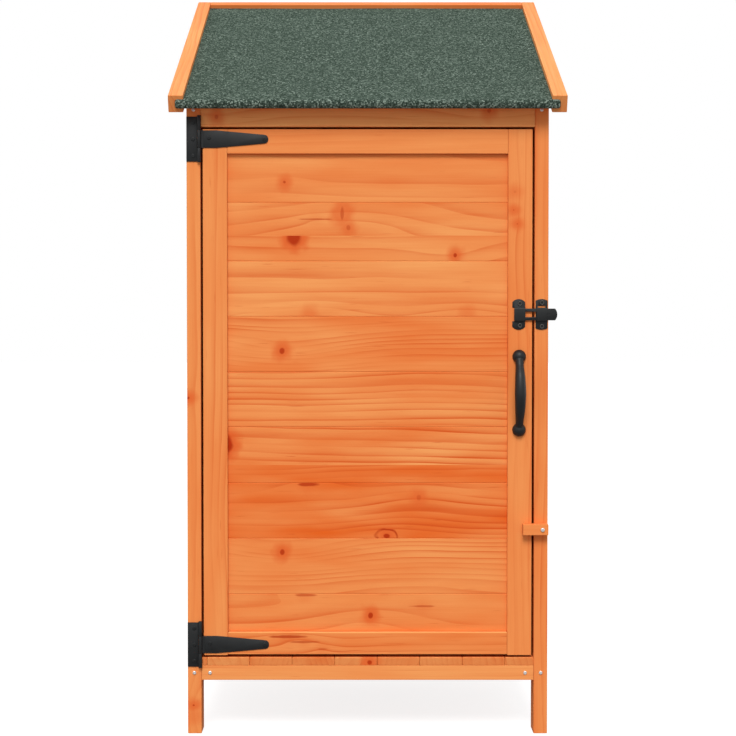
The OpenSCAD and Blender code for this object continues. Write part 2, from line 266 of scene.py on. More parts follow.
def cut_out(piece, cutter):
    """Takes the shape of a cutter out of a piece and drops the cutter."""
    modify(piece, "BOOLEAN", object=cutter, operation="DIFFERENCE", solver="EXACT")
    bpy.data.objects.remove(cutter)


print("helpers for cutting, easing and shading are ready")

# %% [markdown]
# What repeats, such as a screw, is made once and copied. A finished piece gets its material, is hung
# under an empty for the body that it moves with, and hides the CAD nodes that it takes the place of.

# %% Joining, copying and handing over


def join(name, parts):
    """Makes one piece of several."""
    only(*parts)
    if len(parts) > 1:
        bpy.ops.object.join()
    piece = bpy.context.object
    piece.name = name
    return piece


def copy_at(piece, move):
    """A copy with a mesh of its own, moved by a step."""
    twin = piece.copy()
    twin.data = piece.data.copy()
    bpy.context.collection.objects.link(twin)
    twin.location = move
    settle(twin)
    return twin


def hand_over(piece, material, body, slot, *nodes):
    """Gives a finished piece its material, its body and the CAD nodes that it stands for."""
    piece.data.materials.clear()
    piece.data.materials.append(material)
    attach(piece, body)
    if nodes:
        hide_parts(*nodes)
    print(piece.name, len(piece.data.polygons), "faces, rides on", body)


print("helpers for joining, copying and handing over are ready")

# %% [markdown]
# ## Stained fir
# Fir planed smooth and dipped in an orange stain. Year rings lie round the pith, the middle of the
# trunk, so a board shows long lines and flames on its face and arcs on its end. The stain goes
# deep in the soft spring wood and reads darker and redder on the hard summer lines. Branches
# leave red-brown knots, and the rings swerve round them. Painted lines on each face could not do
# that, so the rings are solid: every timber stores on its faces the line of its pith, the way it
# grew, the way its best side looks, its mood (tone, strength of line, width of ring) and where its
# knots are, and one material works out the ring that each point lies in.

# %% Fir: the rings
KNOTS = ("knot_a", "knot_b", "knot_c")
RANGE, NOISE, READ = "ShaderNodeMapRange", "ShaderNodeTexNoise", "ShaderNodeAttribute"

fir = bpy.data.materials.new("stained_fir")
t = empty_tree(fir)
here = add(t, "ShaderNodeTexCoord", out="Object")
facing = add(t, "ShaderNodeNewGeometry", out="Normal")
along, outward, pith, mood = (
    add(t, READ, out="Vector", attribute_name=name) for name in ("along", "outward", "pith", "mood")
)
tone, contrast, ring_width = add(t, "ShaderNodeSeparateXYZ", {0: mood}, out=None).outputs
from_pith = add(t, VECTOR, {0: here, 1: pith}, "SUBTRACT")
run = add(t, VECTOR, {0: from_pith, 1: along}, "DOT_PRODUCT", out="Value")
run_step = add(t, VECTOR, {0: along, "Scale": run}, "SCALE")
across = add(t, VECTOR, {0: from_pith, 1: run_step}, "SUBTRACT")
# each timber reads another stretch of the same noise, because its pith lies elsewhere
OWN_STRETCH = 23.7
own = add(t, VECTOR, {0: pith, "Scale": OWN_STRETCH}, "SCALE")


def fir_pattern(across_mm, along_mm, detail, out=0):
    """A cloudy pattern with lumps of so many mm across the grain and along it."""
    wide = add(t, VECTOR, {0: across, "Scale": 1 / (across_mm * MM)}, "SCALE")
    long = add(t, VECTOR, {0: run_step, "Scale": 1 / (along_mm * MM)}, "SCALE")
    both = add(t, VECTOR, {0: wide, 1: long}, "ADD")
    both = add(t, VECTOR, {0: both, 1: own}, "ADD")
    return add(t, NOISE, {"Vector": both, "Scale": 1.0, "Detail": detail}, out=out)


# the trunk wanders over half a metre or so, and the rings ripple over a hand's width
TRUNK_WANDER, RING_RIPPLE = 26 * MM, 12 * MM
wander = fir_pattern(400, 450, 0.0, out="Color")
wander = add(t, VECTOR, {0: wander, 1: (0.5, 0.5, 0.5)}, "SUBTRACT")
wander = add(t, VECTOR, {0: wander, "Scale": TRUNK_WANDER}, "SCALE")
bent = add(t, VECTOR, {0: across, 1: wander}, "ADD")
ring_at = add(t, VECTOR, {0: bent}, "LENGTH", out="Value")
ripple = fir_pattern(48, 290, 1.5)
ring_at = add(t, MATH, {0: ripple, 1: RING_RIPPLE, 2: ring_at}, "MULTIPLY_ADD")
print("rings follow", len(t.nodes), "nodes")

# %% [markdown]
# A knot is a branch, so it is a rod through the board, and in a thick timber it ends inside. What
# counts is the distance from that rod in knot radii, uneven, because no branch is a true circle.
# Along the grain the distance counts more for a knot, which is then taller than wide, and far less
# for a streak of resin, which is just a very long knot. It counts less for the rings too: they
# lift over a knot in a long smooth hump.

# %% Fir: the knots
LIFT_ALONG, HALO_ALONG = 0.3, 1.15
KNOT_UNEVEN, KNOT_LIFT, LIFT_SPREAD, LIFT_MOST = 0.5, 2.6, 25, 11 * MM
BARK_AT, HALO_WIDE, BRANCH_DEEP, LUMP = 2.2, 27 * MM, 36 * MM, 17 * MM
uneven = add(t, NOISE, {"Vector": here, "Scale": 1 / LUMP, "Detail": 0.0})
uneven = add(t, MATH, {0: uneven, 1: 0.5}, "SUBTRACT")
wobble = add(t, MATH, {0: uneven, 1: KNOT_UNEVEN, 2: 1.0}, "MULTIPLY_ADD")
broken = add(t, RANGE, {0: uneven, 1: -0.12, 2: 0.05, 3: 0.5, 4: 1.0})
sizes, darkness, squeezes = (
    add(t, "ShaderNodeSeparateXYZ", {0: add(t, READ, out="Vector", attribute_name=name)}, out=None).outputs
    for name in ("knot_size", "knot_dark", "knot_along")
)
stain = halo = 0.0
for name, size, dark, squeeze in zip(KNOTS, sizes, darkness, squeezes):
    place = add(t, READ, out="Vector", attribute_name=name)
    off = add(t, VECTOR, {0: here, 1: place}, "SUBTRACT")
    deep = add(t, VECTOR, {0: off, 1: outward}, "DOT_PRODUCT", out="Value")
    inside = add(t, RANGE, {0: deep, 1: -BRANCH_DEEP, 2: -BRANCH_DEEP / 2, 3: 0.0, 4: 1.0})
    deep = add(t, VECTOR, {0: outward, "Scale": deep}, "SCALE")
    off = add(t, VECTOR, {0: off, 1: deep}, "SUBTRACT")
    long = add(t, VECTOR, {0: off, 1: along}, "DOT_PRODUCT", out="Value")
    radii = []
    for extra in (squeeze, LIFT_ALONG - 1, HALO_ALONG - 1):
        more = add(t, MATH, {0: long, 1: extra}, "MULTIPLY")
        more = add(t, VECTOR, {0: along, "Scale": more}, "SCALE")
        near = add(t, VECTOR, {0: off, 1: more}, "ADD")
        far = add(t, VECTOR, {0: near}, "LENGTH", out="Value")
        radii.append(add(t, MATH, {0: far, 1: size}, "DIVIDE"))
    # the lift is a bell curve, most over the knot's middle
    bell = add(t, MATH, {0: radii[1], 1: radii[1]}, "MULTIPLY")
    bell = add(t, MATH, {0: bell, 1: -1 / LIFT_SPREAD}, "MULTIPLY")
    bell = add(t, MATH, {0: bell}, "EXPONENT")
    lift = add(t, MATH, {0: size, 1: LIFT_MOST}, "MINIMUM")
    lift = add(t, MATH, {0: bell, 1: lift}, "MULTIPLY")
    ring_at = add(t, MATH, {0: lift, 1: KNOT_LIFT, 2: ring_at}, "MULTIPLY_ADD")
    # a dark core and a red halo that fades out; a darkness over 1 adds a ring of bark
    rough = add(t, MATH, {0: radii[0], 1: wobble}, "MULTIPLY")
    solid = add(t, MATH, {0: dark, 1: 1.0}, "MINIMUM")
    barky = add(t, MATH, {0: dark, 1: solid}, "SUBTRACT")
    core = add(t, RANGE, {0: rough, 1: 0.5, 2: 0.95, 3: 1.0, 4: 0.0}, interpolation_type="SMOOTHSTEP")
    core = add(t, MATH, {0: core, 1: solid}, "MULTIPLY")
    bark = add(t, MATH, {0: rough, 1: BARK_AT}, "SUBTRACT")
    bark = add(t, MATH, {0: bark}, "ABSOLUTE")
    bark = add(t, RANGE, {0: bark, 1: 0.08, 2: 0.42, 3: 1.0, 4: 0.0})
    bark = add(t, MATH, {0: bark, 1: barky}, "MULTIPLY")
    bark = add(t, MATH, {0: bark, 1: broken}, "MULTIPLY")
    mark = add(t, MATH, {0: core, 1: bark}, "MAXIMUM")
    mark = add(t, MATH, {0: mark, 1: inside}, "MULTIPLY")
    stain = add(t, MATH, {0: stain, 1: mark}, "MAXIMUM")
    rim = add(t, MATH, {0: radii[2], 1: wobble, 2: -0.8}, "MULTIPLY_ADD")
    rim = add(t, MATH, {0: rim, 1: size}, "MULTIPLY")
    glow = add(t, RANGE, {0: rim, 1: 0.0, 2: HALO_WIDE, 3: 0.9, 4: 0.0}, interpolation_type="SMOOTHSTEP")
    weak = add(t, MATH, {0: solid, 1: 0.5, 2: 0.45}, "MULTIPLY_ADD")
    glow = add(t, MATH, {0: glow, 1: weak}, "MULTIPLY")
    # a streak of resin has hardly any halo
    branch = add(t, RANGE, {0: squeeze, 1: -0.95, 2: -0.3, 3: 0.2, 4: 1.0})
    branch = add(t, MATH, {0: branch, 1: inside}, "MULTIPLY")
    glow = add(t, MATH, {0: glow, 1: branch}, "MULTIPLY")
    halo = add(t, MATH, {0: halo, 1: glow}, "MAXIMUM")
print("knots read from", ", ".join(KNOTS))

# %% [markdown]
# Within a year the wood goes from pale spring wood slowly to the dark summer line, and then jumps
# back. Over that lie broad patches where the stain took more or less, fine fibres, short streaks of
# resin, and the knots. The ends of a timber drink more stain and are darker still.

# %% Fir: colour, gloss and relief


def set_stops(ramp, stops):
    """Gives a colour ramp its stops, from place 0 to place 1."""
    for at, _ in stops[1:-1]:
        ramp.color_ramp.elements.new(at)
    for element, (_, code) in zip(ramp.color_ramp.elements, stops):
        element.color = hex_color(code)


# white is the darkest of the summer line
SUMMER_STOPS = ((0.0, "#000000"), (0.4, "#505050"), (0.75, "#BCBCBC"), (0.92, "#FFFFFF"), (1.0, "#E0E0E0"))
SPRING, AUTUMN, SUMMER_LINE, FIBRE_RED = "#EE9A58", "#E36F2F", "#D2541A", "#DB6D2F"
KNOT_RED, KNOT_CORE, RESIN = "#DC5E26", "#B23203", "#C24614"
END_GRAIN, END_SOAKED = "#A04A22", 0.24
year = add(t, MATH, {0: ring_at, 1: ring_width}, "DIVIDE")
# good summers and bad: a few wide rings and then a few narrow ones
summers = add(t, MATH, {0: year, 1: 0.4}, "MULTIPLY")
summers = add(t, NOISE, {"W": summers, "Scale": 1.0, "Detail": 1.0}, noise_dimensions="1D")
year = add(t, MATH, {0: summers, 1: 1.6, 2: year}, "MULTIPLY_ADD")
year = add(t, MATH, {0: year}, "FRACT")
summer = add(t, "ShaderNodeValToRGB", {0: year}, out=None)
set_stops(summer, SUMMER_STOPS)
# some years are strong and some hardly show
strength = fir_pattern(33, 620, 2.0)
strength = add(t, RANGE, {0: strength, 1: 0.34, 2: 0.68, 3: 0.1, 4: 1.0})
line = add(t, MATH, {0: summer.outputs["Color"], 1: strength}, "MULTIPLY")
line = add(t, MATH, {0: line, 1: contrast}, "MULTIPLY")
# fibres about 2 mm wide and a hand long
fibre = fir_pattern(2.4, 140, 2.0)
patch = fir_pattern(62, 330, 2.5)
patch = add(t, MATH, {0: patch, 1: 0.5}, "SUBTRACT")
patch = add(t, MATH, {0: patch, 1: contrast}, "MULTIPLY")
tone = add(t, MATH, {0: patch, 1: 2.4, 2: tone}, "MULTIPLY_ADD")
colors = {6: hex_color(SPRING), 7: hex_color(AUTUMN)}
wood = add(t, MIX, {0: tone, **colors}, out=2, data_type="RGBA", clamp_factor=False)
streak = fir_pattern(2.4, 64, 0.0)
streak = add(t, RANGE, {0: streak, 1: 0.77, 2: 0.87, 3: 0.0, 4: 0.7})
streak = add(t, MATH, {0: streak, 1: contrast}, "MULTIPLY")
fleck = add(t, RANGE, {0: fibre, 1: 0.35, 2: 0.75, 3: 0.0, 4: 0.2})
end = add(t, VECTOR, {0: facing, 1: along}, "DOT_PRODUCT", out="Value")
end = add(t, MATH, {0: end}, "ABSOLUTE")
end = add(t, RANGE, {0: end, 1: 0.7, 2: 1.0, 3: 0.0, 4: END_SOAKED})
# each layer of colour lies over those before it
layers = ((fleck, FIBRE_RED), (line, SUMMER_LINE), (streak, RESIN))
for share, code in layers + ((end, END_GRAIN), (halo, KNOT_RED), (stain, KNOT_CORE)):
    wood = add(t, MIX, {0: share, 6: wood, 7: hex_color(code)}, out=2, data_type="RGBA")

gloss = add(t, RANGE, {0: fibre, 1: 0.3, 2: 0.7, 3: 0.5, 4: 0.64})
relief = add(t, MATH, {0: line, 1: -0.15, 2: fibre}, "MULTIPLY_ADD")
relief = add(t, "ShaderNodeBump", {"Strength": 0.14, "Distance": 0.4 * MM, "Height": relief})
skin = {"Base Color": wood, "Roughness": gloss, "Normal": relief, "IOR": 1.48, "Specular IOR Level": 0.12}
skin = add(t, "ShaderNodeBsdfPrincipled", skin)
add(t, "ShaderNodeOutputMaterial", {"Surface": skin}, out=None)
print("stained fir:", len(t.nodes), "nodes")

# %% [markdown]
# ## Mineral felt
# Roofing felt is bitumen board rolled in crushed green slate. It is quite dull, and each grain has
# its own grey-green. Real grit is about a millimetre. Here it is drawn coarser so that it shows.

# %% Felt
FELT_GRIT, BENT_CONTRAST, BENT_GAP = 3.2 * MM, 0.9, 0.06
BITUMEN, DRIFT_GREEN = "#1A221E", "#4C5A50"
FELT_STOPS = ((0.0, "#36423A"), (0.45, "#4C5A50"), (0.8, "#637267"), (1.0, "#8C9B8F"))
felt = bpy.data.materials.new("green_mineral_felt")
t = empty_tree(felt)
here = add(t, "ShaderNodeTexCoord", out="Object")
grit = add(t, "ShaderNodeTexVoronoi", {"Vector": here, "Scale": 1 / FELT_GRIT}, out=None)
grain = add(t, "ShaderNodeSeparateColor", {0: grit.outputs["Color"]})
# on the rolled nose the grains differ more in tone and more of the dark bitumen shows between them
bent = add(t, READ, out="Fac", attribute_name="bent")
spread = add(t, MATH, {0: grain, 1: 0.5}, "SUBTRACT")
spread = add(t, MATH, {0: spread, 1: bent}, "MULTIPLY")
grain = add(t, MATH, {0: spread, 1: BENT_CONTRAST, 2: grain}, "MULTIPLY_ADD")
shade = add(t, "ShaderNodeValToRGB", {0: grain}, out=None)
set_stops(shade, FELT_STOPS)
drift = add(t, NOISE, {"Vector": here, "Scale": 9.0, "Detail": 3.0})
drift = add(t, RANGE, {0: drift, 1: 0.35, 2: 0.7, 3: 0.0, 4: 0.35})
colors = {6: shade.outputs["Color"], 7: hex_color(DRIFT_GREEN)}
grains = add(t, MIX, {0: drift, **colors}, out=2, data_type="RGBA")
gap = add(t, MATH, {0: bent, 1: BENT_GAP, 2: grit.outputs["Distance"]}, "MULTIPLY_ADD")
crevice = add(t, RANGE, {0: gap, 1: 0.45, 2: 0.8, 3: 0.0, 4: 0.7})
grains = add(t, MIX, {0: crevice, 6: grains, 7: hex_color(BITUMEN)}, out=2, data_type="RGBA")
rise = add(t, MATH, {0: 1.0, 1: grit.outputs["Distance"]}, "SUBTRACT")
rise = add(t, "ShaderNodeBump", {"Strength": 0.7, "Distance": 1.0 * MM, "Height": rise})
skin = {"Base Color": grains, "Roughness": 0.95, "Normal": rise, "IOR": 1.5, "Specular IOR Level": 0.0}
skin = add(t, "ShaderNodeBsdfPrincipled", skin)
add(t, "ShaderNodeOutputMaterial", {"Surface": skin}, out=None)
print("felt grit", FELT_GRIT / MM, "mm")

# %% [markdown]
# ## Black ironwork, painted rim highlights and zinc
# The hinges, bolt and handle are pressed steel in satin black powder coat, which dries to a faint
# orange peel. On the bolt's screws a ring of lighter grey steel on each rim is a painted highlight.
# The screws in the wood are bare zinc-plated steel, slightly clouded.

# %% Ironwork and screws
ORANGE_PEEL, COAT_CLOUD, STEEL_CLOUD = 1.4 * MM, 22 * MM, 2.5 * MM
COAT_DARK, COAT_LIGHT = "#111314", "#1B1D1E"
iron = bpy.data.materials.new("black_powder_coat")
t = empty_tree(iron)
here = add(t, "ShaderNodeTexCoord", out="Object")
peel = add(t, NOISE, {"Vector": here, "Scale": 1 / ORANGE_PEEL, "Detail": 2.0})
cloud = add(t, NOISE, {"Vector": here, "Scale": 1 / COAT_CLOUD, "Detail": 3.0})
coat = {0: cloud, 6: hex_color(COAT_DARK), 7: hex_color(COAT_LIGHT)}
coat = add(t, MIX, coat, out=2, data_type="RGBA")
gloss = add(t, RANGE, {0: cloud, 1: 0.3, 2: 0.7, 3: 0.42, 4: 0.55})
peel = add(t, "ShaderNodeBump", {"Strength": 0.16, "Distance": 0.25 * MM, "Height": peel})
skin = {"Base Color": coat, "Roughness": gloss, "Normal": peel, "IOR": 1.5, "Specular IOR Level": 0.3}
skin = add(t, "ShaderNodeBsdfPrincipled", skin)
add(t, "ShaderNodeOutputMaterial", {"Surface": skin}, out=None)


def plated(name, dark, light, sheen):
    """Bare or plated steel: a metal whose tone and gloss cloud a little between two values."""
    metal = bpy.data.materials.new(name)
    tree = empty_tree(metal)
    spot = add(tree, "ShaderNodeTexCoord", out="Object")
    haze = add(tree, NOISE, {"Vector": spot, "Scale": 1 / STEEL_CLOUD, "Detail": 3.0})
    tint = {0: haze, 6: hex_color(dark), 7: hex_color(light)}
    tint = add(tree, MIX, tint, out=2, data_type="RGBA")
    rough = add(tree, RANGE, {0: haze, 1: 0.3, 2: 0.7, 3: sheen[0], 4: sheen[1]})
    look = {"Base Color": tint, "Roughness": rough, "Metallic": 1.0}
    look = add(tree, "ShaderNodeBsdfPrincipled", look)
    add(tree, "ShaderNodeOutputMaterial", {"Surface": look}, out=None)
    return metal


zinc = plated("zinc_plate", "#DCDDDD", "#F0EFEC", (0.3, 0.45))
# a lighter grey steel, used only for the rings on the bolt's screw rims: a painted highlight
rim_highlight = plated("blackened_steel", "#5C5A57", "#6E6B67", (0.4, 0.55))
print("black powder coat, zinc plate and blackened steel")

# %% [markdown]
# ## How a timber grew
# Each timber gets its pith, mood and knots from its own name, so they come out the same each time.
# A frame timber is sawn well to the side of the pith and shows straight, quiet lines. A board is
# sawn nearer to it, so flames and knots show.

# %% Pith, mood and knots
PITCH = math.radians(24)
UP_SLOPE = Vector((0, math.cos(PITCH), math.sin(PITCH)))
OFF_SLOPE = Vector((0, -math.sin(PITCH), math.cos(PITCH)))
FRONT, BACK, LEFT, RIGHT = Vector((0, -1, 0)), Vector((0, 1, 0)), Vector((-1, 0, 0)), Vector((1, 0, 0))
UP = Vector((0, 0, 1))
KNOT_ALONG = 1.25
NO_KNOT = (Vector((0, 0, -40)), 10 * MM, 0, KNOT_ALONG)
FRAME_LINES, FRAME_TONE = 0.5, (0.3, 0.55)
# ranges in mm: the pith beside a flamed timber, beside a quiet one and behind either, and a ring
PITH_NEAR, PITH_FAR, PITH_BEHIND, RING_RANGE = (-30, 70), (110, 210), (25, 75), (11, 18)
# a knot's radius in mm, and the numbers of knots from which a board draws its own
KNOT_RANGE, KNOT_CHANCE = (4, 9), (0, 0, 1, 1, 2)
BOARD = {"lines": 0.9, "tone": (0.1, 0.75), "flamed": True}


def front_knots(knots, y):
    """Knots on a front face at a depth, from their places across and up and radii in mm.

    The darkness follows, and where it isn't the usual, how much the distance along the grain counts.
    """
    found = []
    for x, z, radius, dark, *counts in knots:
        found.append((Vector((x * MM, y, z * MM)), radius * MM, dark, *(counts or [KNOT_ALONG])))
    return found


def grow(piece, along, outward, pith, mood, knots=(), where=lambda middle: True):
    """Stores on the faces that pass a test the grain, the best side, the pith, the mood and the knots.

    A knot is a place, a radius, a darkness and how much the distance along the grain counts for it.
    A timber has up to three.
    """
    mesh = piece.data
    spots = [*knots, *[NO_KNOT] * len(KNOTS)][: len(KNOTS)]
    places, sizes, dark, counts = zip(*spots)
    chosen = [face.index for face in mesh.polygons if where(face.center)]
    values = {"along": along, "outward": outward, "pith": pith, "mood": mood}
    values.update(zip(KNOTS, places), knot_size=sizes, knot_dark=dark)
    values["knot_along"] = [count - 1 for count in counts]
    for name, value in values.items():
        layer = mesh.attributes.get(name) or mesh.attributes.new(name, "FLOAT_VECTOR", "FACE")
        for index in chosen:
            layer.data[index].vector = value


def chance_growth(
    piece, along, face, wide, lines=FRAME_LINES, tone=FRAME_TONE, knots=(), flamed=False, branch=None
):
    """Grows a timber by chance: face is the way its best side looks, wide the way across it.

    A flamed one is sawn near the pith and may have knots of its own besides the given ones. Its
    branches come out of its best side unless another way is given.
    """
    chance = random.Random(piece.name)
    points = [v.co for v in piece.data.vertices]
    middle = sum(points, Vector()) / len(points)
    half_run, half_wide, half_deep = (
        max(abs((p - middle).dot(way)) for p in points) for way in (along, wide, face)
    )
    beside = chance.uniform(*(PITH_NEAR if flamed else PITH_FAR))
    beside = chance.choice((-1, 1)) * (half_wide + beside * MM)
    pith = middle - face * (half_deep + chance.uniform(*PITH_BEHIND) * MM) + wide * beside
    mood = (chance.uniform(*tone), lines * chance.uniform(0.7, 1.2), chance.uniform(*RING_RANGE) * MM)
    found = list(knots)
    if flamed:
        for _ in range(chance.choice(KNOT_CHANCE)):
            place = middle + face * half_deep + along * chance.uniform(-0.92, 0.92) * half_run
            place += wide * chance.uniform(-0.8, 0.8) * half_wide
            found.append((place, chance.uniform(*KNOT_RANGE) * MM, chance.uniform(0.3, 1), KNOT_ALONG))
    grow(piece, along, branch or face, pith, mood, found)


print("growth is seeded by each timber's name")

# %% [markdown]
# ## Corner posts, sills, headers and rails
# Planed battens: straight, with every edge eased by the planer. The posts, the headers and the
# side rails are sawn off under the slope of the roof. The few knots are where the real ones are.

# %% The frame of the shed
EASED = 1.5 * MM
# what sets a front timber apart: its range of tones, its lines and its knots (across, up and radius
# in mm, darkness, and for some how much the distance along the grain counts)
FRONT_LOOKS = {
    "front_header": {"tone": (-0.4, -0.1), "knots": ((-337, 1383, 7, 0.5), (271, 1397, 7, 0.4))},
    "front_left_post": {
        "tone": (0.3, 0.3),
        "knots": ((-401.6, 756, 4, 0.9, 1.0), (-391, 64, 3, 0.8), (-391, 40, 9, 0)),
    },
    "front_right_post": {"tone": (0.45, 0.45)},
    # the sill's paler tone stands in for more light low on the front: painted light
    "front_sill": {"tone": (-0.2, 0.0)},
    "door_left_stile": {"tone": (0.3, 0.3)},
    "door_top_rail": {"tone": (0.4, 0.4)},
    "door_bottom_rail": {
        "tone": (0.5, 0.6),
        "lines": 1.1,
        "knots": ((-179, 219, 4.4, 0.8, 0.08), (-142, 207, 3.2, 0.65, 0.07), (-101, 191, 2.2, 0.5, 0.15)),
    },
    "door_right_stile": {
        "tone": (0.4, 0.4),
        "knots": ((328.6, 1216.5, 4, 0.2, 1.0), (326, 1176, 1.4, 0.8, 1.0), (334, 1145, 1.4, 0.8, 1.0)),
    },
}
y_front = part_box("front_sill")[0][1]
y_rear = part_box("rear_sill")[1][1]
post_low, post_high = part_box("front_left_post")
deck_at = Vector((0, y_front, post_high[2] - (post_high[1] - post_low[1]) * math.tan(PITCH)))


def timber(node, along, face, wide, body="shed", sloped=False):
    """A batten in the place of a CAD node."""
    low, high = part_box(node)
    piece = block(node + "_timber", low, high)
    if sloped:
        saw(piece, deck_at, OFF_SLOPE)
    soften(piece, EASED)
    planed(piece)
    look = dict(FRONT_LOOKS.get(node, {}))
    look["knots"] = front_knots(look.get("knots", ()), low[1])
    chance_growth(piece, along, face, wide, **look)
    hand_over(piece, fir, body, "stained_fir", node)
    return piece


for side in ("left", "right"):
    timber(f"front_{side}_post", UP, FRONT, RIGHT, sloped=True)
    timber(f"rear_{side}_post", UP, BACK, RIGHT, sloped=True)
for place, face in (("front", FRONT), ("rear", BACK)):
    timber(f"{place}_sill", RIGHT, face, UP)
    timber(f"{place}_header", RIGHT, face, UP, sloped=True)
timber("left_sill", BACK, LEFT, UP)
timber("right_sill", BACK, RIGHT, UP)

# %% [markdown]
# The side rails follow the slope, so each is made level from a long blank, turned to the pitch and
# sawn plumb at both ends, as a carpenter would mark it on the spot.

# %% Side rails
RAIL_BLANK = 1.0
for side, out in (("left", LEFT), ("right", RIGHT)):
    node = f"{side}_top_rail"
    low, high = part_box(node)
    tall = (high[2] - low[2] - (high[1] - low[1]) * math.tan(PITCH)) * math.cos(PITCH)
    piece = block(node + "_timber", (low[0], -RAIL_BLANK, -tall), (high[0], RAIL_BLANK, 0))
    piece.rotation_euler = (PITCH, 0, 0)
    piece.location = (0, high[1], high[2])
    settle(piece)
    saw(piece, (0, high[1], 0), BACK)
    saw(piece, (0, low[1], 0), FRONT)
    soften(piece, EASED)
    planed(piece)
    chance_growth(piece, UP_SLOPE, out, OFF_SLOPE)
    hand_over(piece, fir, "shed", "stained_fir", node)

# %% [markdown]
# ## Boards
# The walls, the floor and the deck are matched boards: side by side, each with its long edges
# eased, so that a fine V runs along every joint. One board is a block with bevelled edges.

# %% Boarding
BOARD_V = 1.2 * MM


def boarding(name, low, high, stack, joints, along, sloped=None, ends=False, gap=0.0):
    """Boards between two corners, parted at the joints along one axis: stack is 0, 1 or 2.

    The long edges are eased, or all the edges where the boards' ends show too, and a gap is left.
    """
    edges = [low[stack]] + [j for j in joints if low[stack] < j < high[stack]] + [high[stack]]
    boards = []
    for number, (a, b) in enumerate(zip(edges, edges[1:])):
        start, end = list(low), list(high)
        start[stack] = a + (gap / 2 if number else 0)
        end[stack] = b - (gap / 2 if b < high[stack] else 0)
        board = block(f"{name}_{number}", start, end)
        if sloped:
            saw(board, sloped, OFF_SLOPE)
        soften(board, BOARD_V, lambda middle, way: ends or abs(way.dot(along)) > STRAIGHT, segments=1)
        boards.append(board)
    return boards


def lay(name, boards, node, along, face, wide, **look):
    """Grows each board by chance and hands them over as one piece in the place of a CAD node."""
    for board in boards:
        chance_growth(board, along, face, wide, **look)
    hand_over(join(name, boards), fir, "shed", "stained_fir_boards", node)


# the joints of the walls run on from those of the door
WALL_JOINTS = [0.3141 + 0.1252 * n for n in range(-2, 12)]
for side, out in (("left", LEFT), ("right", RIGHT)):
    node = f"{side}_wall"
    rail_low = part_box(f"{side}_top_rail")[0]
    under = Vector((0, rail_low[1], rail_low[2]))
    boards = boarding(node, *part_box(node), 2, WALL_JOINTS, BACK, sloped=under)
    lay(f"{side}_wall_boards", boards, node, BACK, out, UP, **BOARD)
boards = boarding("rear_wall", *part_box("rear_wall"), 2, WALL_JOINTS, RIGHT)
lay("rear_wall_boards", boards, "rear_wall", RIGHT, BACK, UP, **BOARD)

# the floor's joints stand a little open, and a tongue in each keeps the daylight out
FLOOR_GAP, TONGUE, TONGUE_BACK = 0.8 * MM, 4 * MM, 6 * MM
FLOOR_JOINTS = [-0.2650 + 0.0956 * n for n in range(-1, 8)]
FLOOR_KNOT, FLOOR_TONE = (5, 161, 7, 0.95, 1.2), (-0.1, 0.4)
low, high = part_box("floor_boards")
boards = boarding("floor", low, high, 0, FLOOR_JOINTS, BACK, ends=True, gap=FLOOR_GAP)
tongue_z = (low[2] + high[2]) / 2
for joint in FLOOR_JOINTS:
    if low[0] < joint < high[0]:
        start = (joint - TONGUE, low[1] + TONGUE_BACK, tongue_z - TONGUE / 2)
        end = (joint + TONGUE, high[1] - TONGUE_BACK, tongue_z + TONGUE / 2)
        boards.append(block("tongue", start, end))
floor_look = {"tone": FLOOR_TONE, "knots": front_knots([FLOOR_KNOT], y_front), "branch": FRONT}
lay("floor_planks", boards, "floor_boards", BACK, UP, RIGHT, **floor_look)

# %% [markdown]
# ## Roof
# The roof is easiest to make lying flat: X across, Y up the slope and Z off it. Every block is
# then turned to the pitch about the line where the deck meets the front posts. The side boards get
# a paler tone, a painted highlight where their tops face the light, and the board across the back a
# darker one, painted shade.

# %% Roof timbers
# the side boards' paler tone is a painted highlight, and the rear board's darker tone is painted shade
PAINTED_HIGHLIGHT_TONE, SHADED = (-0.1, 0.1), (0.45, 0.55)
DECK_PLANKS = 8


def tilt(piece):
    """Turns a piece that was made flat to the roof's slope."""
    piece.rotation_euler = (PITCH, 0, 0)
    piece.location = deck_at
    settle(piece)


def flat_span(node):
    """A roof node's lowest and highest place up the slope and off it."""
    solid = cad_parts[node]
    points = [solid.matrix_world @ v.co - deck_at for v in solid.data.vertices]
    runs, rises = [p.dot(UP_SLOPE) for p in points], [p.dot(OFF_SLOPE) for p in points]
    return min(runs), max(runs), min(rises), max(rises)


for node, along, wide, tone in (
    ("left_roof_board", UP_SLOPE, RIGHT, PAINTED_HIGHLIGHT_TONE),
    ("right_roof_board", UP_SLOPE, RIGHT, PAINTED_HIGHLIGHT_TONE),
    ("rear_roof_board", RIGHT, UP_SLOPE, SHADED),
):
    low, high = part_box(node)
    u0, u1, v0, v1 = flat_span(node)
    piece = block(node + "_timber", (low[0], u0, v0), (high[0], u1, v1))
    soften(piece, EASED)
    tilt(piece)
    planed(piece)
    chance_growth(piece, along, OFF_SLOPE, wide, tone=tone)
    hand_over(piece, fir, "shed", "stained_fir", node)

low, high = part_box("roof_deck")
u0, u1, v0, v1 = flat_span("roof_deck")
deck_joints = [u0 + (u1 - u0) * n / DECK_PLANKS for n in range(1, DECK_PLANKS)]
boards = boarding("deck", (low[0], u0, v0), (high[0], u1, v1), 1, deck_joints, RIGHT)
for board in boards:
    tilt(board)
lay("roof_deck_boards", boards, "roof_deck", RIGHT, -OFF_SLOPE, UP_SLOPE, **BOARD)

# %% [markdown]
# The felt lies in the tray between the side boards. A grid lets it lie a little uneven, and at the
# front a strip of the same felt is rolled over the ends of the boards, so its nose is round.

